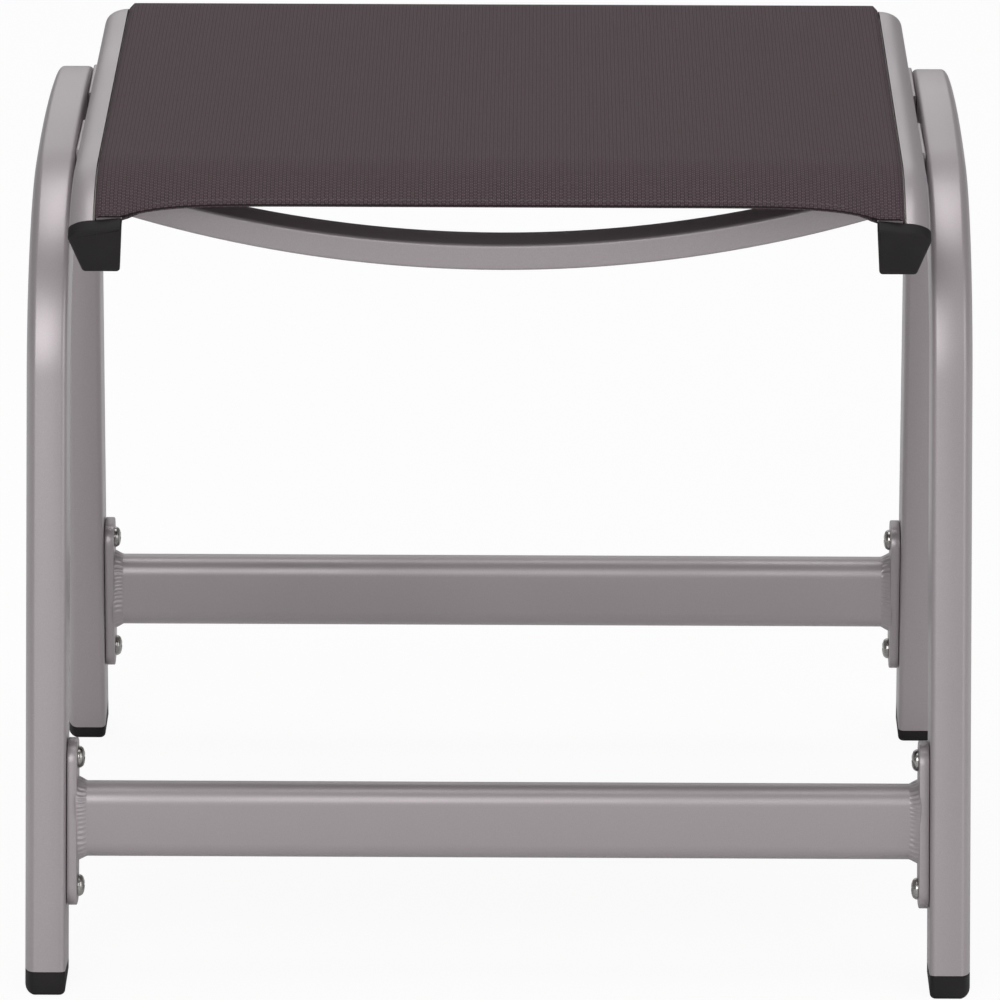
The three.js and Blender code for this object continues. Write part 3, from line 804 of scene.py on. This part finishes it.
# Head and shank turned from a profile, with its axis on X and the origin under the head
def turnScrew(length):
    bm = bmesh.new()
    tip = screw["shank"] / 2
    dome = [(-screw["tall"] * up, screw["head"] * out) for up, out in screw["dome"]]
    head = [(-screw["tall"], 0), *dome, (-screw["edge"], screw["head"]), (0, screw["head"])]
    shank = [(0, screw["shank"]), (length - tip, screw["shank"]), (length, tip), (length, 0)]
    made = [bm.verts.new((x, 0, radius)) for x, radius in head + shank]
    for pair in zip(made, made[1:]):
        bm.edges.new(pair)
    roundOff(bm, made[1:4], "VERTICES", screw["domeRound"], screw["domeSteps"])
    bmesh.ops.spin(bm, geom=bm.verts[:] + bm.edges[:], cent=(0, 0, 0), axis=(1, 0, 0), angle=2 * math.pi,
                   steps=screw["turnSteps"], use_merge=True, use_duplicate=False)
    bmesh.ops.remove_doubles(bm, verts=bm.verts, dist=2 * samePoint)
    bmesh.ops.recalc_face_normals(bm, faces=bm.faces)
    return bm


# Cuts the cross into the head and gives the result back as a bmesh
def cutCross(bm):
    body = toObject("screwBody", bm)
    long, wide, deep = screw["recess"]
    for turn in (0, math.pi / 2):
        block = bmesh.new()
        bmesh.ops.create_cube(block, size=1)
        bmesh.ops.scale(block, vec=(2 * deep, long, wide), verts=block.verts)
        bmesh.ops.rotate(block, matrix=Matrix.Rotation(turn, 3, "X"), verts=block.verts)
        bmesh.ops.translate(block, vec=(-screw["tall"], 0, 0), verts=block.verts)
        cutter = toObject("screwCutter", block)
        cut = body.modifiers.new("cross", "BOOLEAN")
        cut.operation = "DIFFERENCE"
        cut.solver = "EXACT"
        cut.object = cutter
        evaluated = body.evaluated_get(bpy.context.evaluated_depsgraph_get())
        shape = bpy.data.meshes.new_from_object(evaluated)
        body.modifiers.remove(cut)
        body.data = shape
        bpy.data.objects.remove(cutter)
    result = bmesh.new()
    result.from_mesh(body.data)
    bpy.data.objects.remove(body)
    return result


def placeScrew(name, shape, node, x):
    low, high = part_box(node)
    middle = (low + high) / 2
    head = low.x if x > 0 else -high.x
    bm = shape.copy()
    bmesh.ops.translate(bm, vec=(head + screw["tall"], middle.y, middle.z), verts=bm.verts)
    finishPiece(name, bm, steel, [node], (x, 1), screw["sharp"])
    bm.free()


def screwLength(node):
    low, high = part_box(node)
    return high.x - low.x - screw["tall"]


plateScrew = cutCross(turnScrew(screwLength("plate_screw_rear_right_upper")))
seatBolt = cutCross(turnScrew(screwLength("seat_bolt_rear_right")))
for side, x in sides.items():
    for end in ends:
        placeScrew(f"seatBolt_{end}_{side}", seatBolt, f"seat_bolt_{end}_{side}", x)
        for row in ("upper", "lower"):
            name = f"{end}_{side}_{row}"
            placeScrew(f"plateScrew_{name}", plateScrew, f"plate_screw_{name}", x)
plateScrew.free()
seatBolt.free()
print("screws done")


# Spreader bars

spreaderBar = {
    "away": 0.1335,
    "wide": 0.025,
    "tall": 0.0133,
    "round": 0.0018,
    "roundSteps": 4,
    "endRise": 0.0085,
    "endGap": 0.0003,
    "bow": 0.0276,
    "bowSteps": 20,
}


# Half an arc that hangs down, its end cut upright against the seat rail
def makeBar():
    topDrop = seatRail["tall"] - spreaderBar["endRise"] - spreaderBar["tall"] / 2
    half = railInner + seatRail["innerLean"] * topDrop / seatRail["tall"] - spreaderBar["endGap"]
    bow = spreaderBar["bow"]
    radius = (half ** 2 + bow ** 2) / (2 * bow)
    lowest = railTop - seatRail["tall"] + spreaderBar["endRise"] - bow
    last = math.asin(half / radius)
    bm = boxSection(spreaderBar["wide"], spreaderBar["tall"], spreaderBar["round"], spreaderBar["roundSteps"])
    edges = placeSection(bm, (0, 1, 0), (0, 0, 1), (0, spreaderBar["away"], lowest))
    edges = bendLoop(bm, edges, (0, 0, lowest + radius), (0, -1, 0), last, spreaderBar["bowSteps"])
    for vert in vertsOf(edges):
        slide = half - vert.co.x
        vert.co += Vector((slide, 0, slide * math.tan(last)))
    fillLoop(bm, edges)
    mirrorBoth(bm, "X")
    return bm


bar = makeBar()
for end, y in ends.items():
    finishPiece(f"bar_{end}", bar, silver, [f"spreader_bar_{end}"], (1, y))
bar.free()
print("spreader bars done")


# Spacers between arch and rail

spacerBlock = {
    "edge": 0.0006,
    "edgeSteps": 2,
    "join": 0.00001,  # points of its node nearer than this are made one
    "flat": 0.02,  # radians below which two of its faces are one
    "outlineLong": 0.005,  # only edges longer and sharper than these are rounded
    "outlineSharp": 0.5,
}


def isSpacerOutline(edge):
    isLong = edge.calc_length() > spacerBlock["outlineLong"]
    return isLong and edge.calc_face_angle(0) > spacerBlock["outlineSharp"]


# The wedge of the rear right spacer, from the corners of its node
def makeSpacer():
    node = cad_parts["spacer_rear_right"]
    bm = bmesh.new()
    bm.from_mesh(node.data)
    bmesh.ops.remove_doubles(bm, verts=bm.verts, dist=spacerBlock["join"])
    bmesh.ops.dissolve_limit(bm, angle_limit=spacerBlock["flat"], verts=bm.verts, edges=bm.edges)
    outline = [edge for edge in bm.edges if isSpacerOutline(edge)]
    roundOff(bm, outline, "EDGES", spacerBlock["edge"], spacerBlock["edgeSteps"])
    return bm


finishCorners("spacerBlock", makeSpacer(), silver, "spacer")
print("spacers done")


# Sling

sling = {
    "thick": 0.001,
    "gap": 0.0003,
    "short": 0.0001,  # it stays back from the ends of the rails
    "pull": 0.0082,  # its front and rear edges curve back between the rails
    "pullPower": 10,  # the higher, the straighter the middle of that edge
    "beforeSlot": 0.0005,  # it goes down this far inside the middle of the slot
    "slotBend": 0.0012,  # radius of its turn down
    "intoSlot": 0.0048,  # cloth beyond that turn
    "columns": 120,
    "rows": 130,
    "sharp": 60,
}
clothTurn = slotAcross - sling["beforeSlot"]
clothHalf = clothTurn + sling["intoSlot"]
clothEnd = seatRail["flatHalf"] + seatRail["bendRadius"] * seatRail["bendAngle"] - sling["short"]


# The line of the seat rails at a distance from the middle, with its upward direction
def railLine(along):
    side = -1 if along < 0 else 1
    past = max(abs(along) - seatRail["flatHalf"], 0)
    angle = past / seatRail["bendRadius"]
    y = abs(along) - past + seatRail["bendRadius"] * math.sin(angle)
    z = railTop - seatRail["bendRadius"] * (1 - math.cos(angle))
    return Vector((0, side * y, z)), Vector((0, side * math.sin(angle), math.cos(angle)))


# Where a point of the flat cloth lies: over the rails, then down into the slot
def layCloth(across, along):
    share = min(abs(across) / railInner, 1)
    pull = 1 - sling["pull"] / clothEnd * (1 - share ** sling["pullPower"])
    spot, up = railLine(along * pull)
    bend = sling["slotBend"]
    past = max(abs(across) - clothTurn + bend, 0)
    turn = min(past / bend, math.pi / 2)
    side = -1 if across < 0 else 1
    x = min(abs(across), clothTurn - bend) + bend * math.sin(turn)
    drop = bend * (1 - math.cos(turn)) + max(past - bend * math.pi / 2, 0)
    spot += up * (sling["gap"] + sling["thick"] / 2 - drop)
    return Vector((side * x, spot.y, spot.z))


# A flat grid with its map in metres, from half its width and where it starts and ends
def flatCloth(half, start, end, rows):
    bm = bmesh.new()
    bmesh.ops.create_grid(bm, x_segments=sling["columns"], y_segments=rows, size=1)
    bmesh.ops.scale(bm, vec=(half, (end - start) / 2, 1), verts=bm.verts)
    bmesh.ops.translate(bm, vec=(0, (end + start) / 2, 0), verts=bm.verts)
    cloth = bm.loops.layers.uv.new("cloth")
    for face in bm.faces:
        for loop in face.loops:
            loop[cloth].uv = (loop.vert.co.x + clothHalf, loop.vert.co.y + clothEnd)
    return bm


def thicken(piece, thick):
    wall = piece.modifiers.new("wall", "SOLIDIFY")
    wall.thickness = thick
    wall.offset = 0


def makeSling():
    bm = flatCloth(clothHalf, -clothEnd, clothEnd, sling["rows"])
    for vert in bm.verts:
        vert.co = layCloth(vert.co.x, vert.co.y)
    piece = finishPiece("slingCloth", bm, weave, ["sling"], (1, 1), sling["sharp"])
    bm.free()
    thicken(piece, sling["thick"])
    return piece


slingCloth = makeSling()
print("sling done")


# Hems: the cloth is folded under at the front and the rear, and stitched

hem = {
    "wide": 0.012,
    "below": 0.00095,
    "thick": 0.0008,
    "rows": 10,
    "clear": 0.0002,  # from the rails
    "corner": 0.008,  # its corners hang down a little
    "cornerRamp": 0.004,
    "cornerDrop": 0.0016,
}
stitch = {
    "clear": 0.014,
    "inset": 0.0034,
    "long": 0.0024,
    "apart": 0.0034,
    "radius": 0.00032,
    "sink": 0.0001,
    "around": 8,
    "lengthwise": 6,
}


# The turned-under strip at the rear edge
def makeHem():
    half = railInner - hem["clear"]
    bm = flatCloth(half, clothEnd - hem["wide"], clothEnd, hem["rows"])
    for vert in bm.verts:
        intoCorner = max(abs(vert.co.x) - half + hem["corner"], 0)
        drop = hem["below"] + hem["cornerDrop"] * min(intoCorner / hem["cornerRamp"], 1)
        vert.co = layCloth(vert.co.x, vert.co.y) - railLine(vert.co.y)[1] * drop
    return bm


# One short thread after another along the rear edge, above and below, each a long bead
def makeStitches():
    bm = bmesh.new()
    count = int(2 * (railInner - stitch["clear"]) / stitch["apart"])
    along = clothEnd - stitch["inset"]
    up = railLine(along)[1]
    size = (stitch["long"] / 2, stitch["radius"], stitch["radius"])
    depths = (sling["thick"] / 2 - stitch["sink"], -hem["below"] - hem["thick"] / 2)
    for number in range(count):
        spot = layCloth((number - (count - 1) / 2) * stitch["apart"], along)
        for depth in depths:
            made = bmesh.ops.create_uvsphere(bm, u_segments=stitch["around"], v_segments=stitch["lengthwise"],
                                             radius=1)["verts"]
            bmesh.ops.rotate(bm, matrix=Matrix.Rotation(math.pi / 2, 3, "Y"), verts=made)
            bmesh.ops.scale(bm, vec=size, verts=made)
            bmesh.ops.translate(bm, vec=spot + up * depth, verts=made)
    return bm


hemStrip = makeHem()
stitches = makeStitches()
for end, y in ends.items():
    strip = finishPiece(f"hem_{end}", hemStrip, weave, [], (1, y), sling["sharp"])
    thicken(strip, hem["thick"])
    finishPiece(f"stitches_{end}", stitches, thread, [], (1, y), sling["sharp"])
hemStrip.free()
stitches.free()
print("hems done")


# Nodes of the frame that stay, with their finish

def dressNodes():
    finishes = {"rivet_nut": steel, "hem_rod": rod, "spreader_plug": plastic}
    for name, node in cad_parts.items():
        for part, material in finishes.items():
            if part in name:
                for slot in node.material_slots:
                    slot.material = material


dressNodes()
print("frame nodes dressed")


# Floor, light and background

studio = {
    "floorHalf": 8,
    "floor": (0.90, 0.90, 0.90),
    "floorRoughness": 0.9,
    "floorSpecular": 0.1,
    "floorGlow": 0.93,
    "worldLight": 0.27,
    "aim": (0, 0, 0.2),
}
# Power, size and place
lamps = {
    "key": (82, 2.4, (-1.1, -4.1, 2.1)),
    "fill": (40, 2.6, (3.2, -2.4, 1.4)),
    "back": (14, 2.4, (-0.3, 3.2, 1.8)),
    "top": (38, 2.0, (0, 0.2, 3.0)),
}


# A pale floor that the camera sees nearly white
def makeFloor():
    bm = bmesh.new()
    bmesh.ops.create_grid(bm, x_segments=1, y_segments=1, size=studio["floorHalf"])
    floor = toObject("floor", bm)
    material, nodes, links, shader = startMaterial("paleFloor")
    shader.inputs["Base Color"].default_value = (*studio["floor"], 1)
    shader.inputs["Roughness"].default_value = studio["floorRoughness"]
    shader.inputs["Specular IOR Level"].default_value = studio["floorSpecular"]
    glow = addNode(nodes, "ShaderNodeEmission")
    glow.inputs["Strength"].default_value = 1
    mix = addNode(nodes, "ShaderNodeMixShader")
    path = addNode(nodes, "ShaderNodeLightPath")
    share = addNode(nodes, "ShaderNodeMath", operation="MULTIPLY")
    share.inputs[1].default_value = studio["floorGlow"]
    links.new(path.outputs["Is Camera Ray"], share.inputs[0])
    links.new(share.outputs[0], mix.inputs["Fac"])
    links.new(shader.outputs["BSDF"], mix.inputs[1])
    links.new(glow.outputs["Emission"], mix.inputs[2])
    links.new(mix.outputs["Shader"], nodes["Material Output"].inputs["Surface"])
    floor.data.materials.append(material)


# A white background, with less light than the camera sees
def makeWorld():
    world = bpy.data.worlds.new("studio")
    bpy.context.scene.world = world
    world.use_nodes = True
    nodes = world.node_tree.nodes
    links = world.node_tree.links
    back = nodes["Background"]
    back.inputs["Color"].default_value = (1, 1, 1, 1)
    path = addNode(nodes, "ShaderNodeLightPath")
    level = addNode(nodes, "ShaderNodeMapRange")
    level.inputs["To Min"].default_value = studio["worldLight"]
    level.inputs["To Max"].default_value = 1
    links.new(path.outputs["Is Camera Ray"], level.inputs["Value"])
    links.new(level.outputs["Result"], back.inputs["Strength"])


def makeLamp(name, power, size, at):
    data = bpy.data.lights.new(name, "AREA")
    data.energy = power
    data.size = size
    lamp = bpy.data.objects.new(name, data)
    lamp.location = at
    lamp.rotation_euler = (Vector(studio["aim"]) - Vector(at)).to_track_quat("-Z", "Y").to_euler()
    bpy.context.scene.collection.objects.link(lamp)


makeFloor()
makeWorld()
for name, lamp in lamps.items():
    makeLamp(name, *lamp)
bpy.context.scene.view_settings.view_transform = "Standard"
print("studio done")
